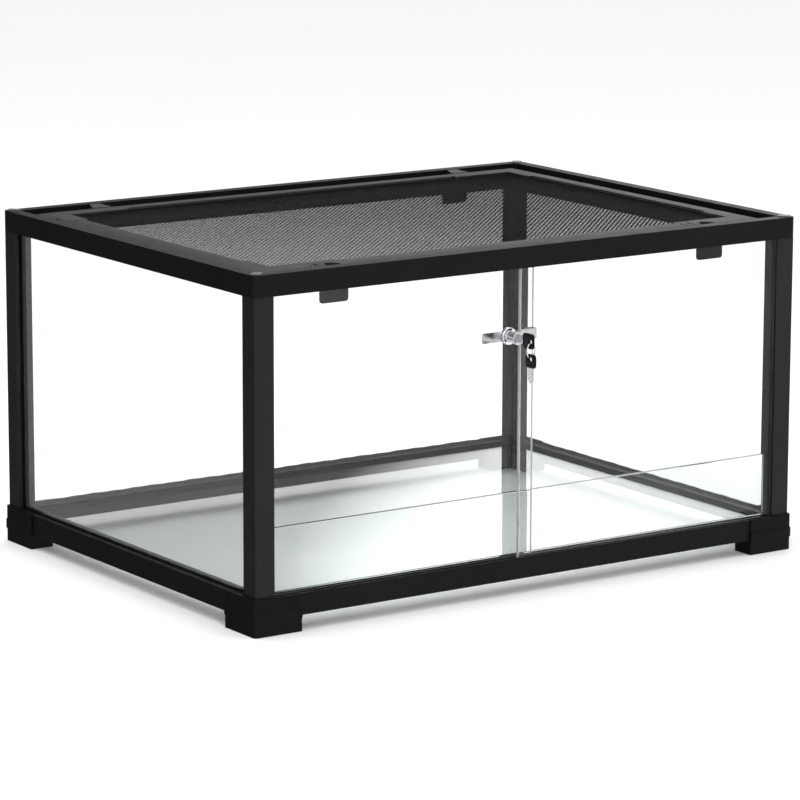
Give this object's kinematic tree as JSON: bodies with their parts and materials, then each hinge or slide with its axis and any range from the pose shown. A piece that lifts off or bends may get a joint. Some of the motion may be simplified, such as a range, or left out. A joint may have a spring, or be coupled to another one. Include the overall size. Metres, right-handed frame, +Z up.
{
  "type": "glass terrarium",
  "caption": "Front-opening glass terrarium with two bypass sliding doors held by a ratchet lock, and a lift-off mesh lid with sliding latches.",
  "frame": {"origin": "on the ground, under the middle of the bounding box (keys included)", "axes": "+X to the right along the front, +Y to the back, +Z up"},
  "size_m": [0.6156, 0.4874, 0.326],
  "materials": {
    "rim_plastic": "satin black moulded plastic",
    "post_metal": "satin black powder coat",
    "cap_plastic": "satin grey",
    "track_plastic": "satin black",
    "glass": "clear float glass, polished edges",
    "lock_steel": "nickel plated",
    "chrome": "polished",
    "key_plastic": "glossy black",
    "lid_plastic": "satin black",
    "latch_plastic": "satin black",
    "mesh_screen": "black coated woven wire",
    "spline_rubber": "matt"
  },
  "bodies": {
    "frame": {"base_rail_front": "rim_plastic", "base_rail_back": "rim_plastic", "base_rail_left": "rim_plastic", "base_rail_right": "rim_plastic", "foot_fl": "rim_plastic", "foot_fr": "rim_plastic", "foot_bl": "rim_plastic", "foot_br": "rim_plastic", "post_fl": "post_metal", "post_fr": "post_metal", "post_bl": "post_metal", "post_br": "post_metal", "rim_front": "rim_plastic", "rim_back": "rim_plastic", "rim_left": "rim_plastic", "rim_right": "rim_plastic", "rim_corner_fl": "cap_plastic", "rim_corner_fr": "cap_plastic", "rim_corner_bl": "cap_plastic", "rim_corner_br": "cap_plastic", "pane_left": "glass", "pane_right": "glass", "pane_back": "glass", "floor_panel": "glass", "front_strip": "glass", "track_top": "track_plastic", "track_bottom": "track_plastic"},
    "left_door": {"door_left": "glass", "lock_bar": "lock_steel"},
    "right_door": {"door_right": "glass"},
    "barrel": {"lock_barrel": "chrome"},
    "key": {"lock_plug": "chrome", "key_head": "key_plastic", "key_blade": "lock_steel"},
    "ring": {"key_ring": "chrome"},
    "spare": {"spare_head": "key_plastic", "spare_blade": "lock_steel"},
    "lid": {"lid_rail_front": "lid_plastic", "lid_rail_back": "lid_plastic", "lid_rail_left": "lid_plastic", "lid_rail_right": "lid_plastic", "lid_corner_fl": "lid_plastic", "lid_corner_fr": "lid_plastic", "lid_corner_bl": "lid_plastic", "lid_corner_br": "lid_plastic", "lid_mesh": "mesh_screen", "spline_front": "spline_rubber", "spline_back": "spline_rubber", "spline_left": "spline_rubber", "spline_right": "spline_rubber"},
    "latch_front_left": {"latch_fl": "latch_plastic"},
    "latch_front_right": {"latch_fr": "latch_plastic"},
    "latch_back_left": {"latch_bl": "latch_plastic"},
    "latch_back_right": {"latch_br": "latch_plastic"}
  },
  "joints": [
    {"name": "left_door_slide", "type": "slide", "parent": "frame", "child": "left_door", "axis": [1, 0, 0], "range_m": [0, 0.27]},
    {"name": "right_door_slide", "type": "slide", "parent": "frame", "child": "right_door", "axis": [-1, 0, 0], "range_m": [0, 0.23]},
    {"name": "barrel_slide", "type": "slide", "parent": "right_door", "child": "barrel", "axis": [-1, 0, 0], "range_m": [0, 0.014]},
    {"name": "key_turn", "type": "hinge", "parent": "barrel", "child": "key", "pos_m": [-0.026, -0.20915, 0.2425], "axis": [0, 1, 0], "range_deg": [0, 90]},
    {"name": "ring_swing", "type": "hinge", "parent": "key", "child": "ring", "pos_m": [-0.026, -0.23675, 0.2425], "axis": [1, 0, 0], "range_deg": [-40, 20]},
    {"name": "spare_swing", "type": "hinge", "parent": "ring", "child": "spare", "pos_m": [-0.026, -0.23675, 0.2264], "axis": [1, 0, 0], "range_deg": [-40, 25]},
    {"name": "lid_lift", "type": "slide", "parent": "frame", "child": "lid", "axis": [0, 0, 1], "range_m": [0, 0.1]},
    {"name": "latch_front_left_slide", "type": "slide", "parent": "lid", "child": "latch_front_left", "axis": [0, 1, 0], "range_m": [0, 0.005]},
    {"name": "latch_front_right_slide", "type": "slide", "parent": "lid", "child": "latch_front_right", "axis": [0, 1, 0], "range_m": [0, 0.005]},
    {"name": "latch_back_left_slide", "type": "slide", "parent": "lid", "child": "latch_back_left", "axis": [0, -1, 0], "range_m": [0, 0.005]},
    {"name": "latch_back_right_slide", "type": "slide", "parent": "lid", "child": "latch_back_right", "axis": [0, -1, 0], "range_m": [0, 0.005]}
  ]
}
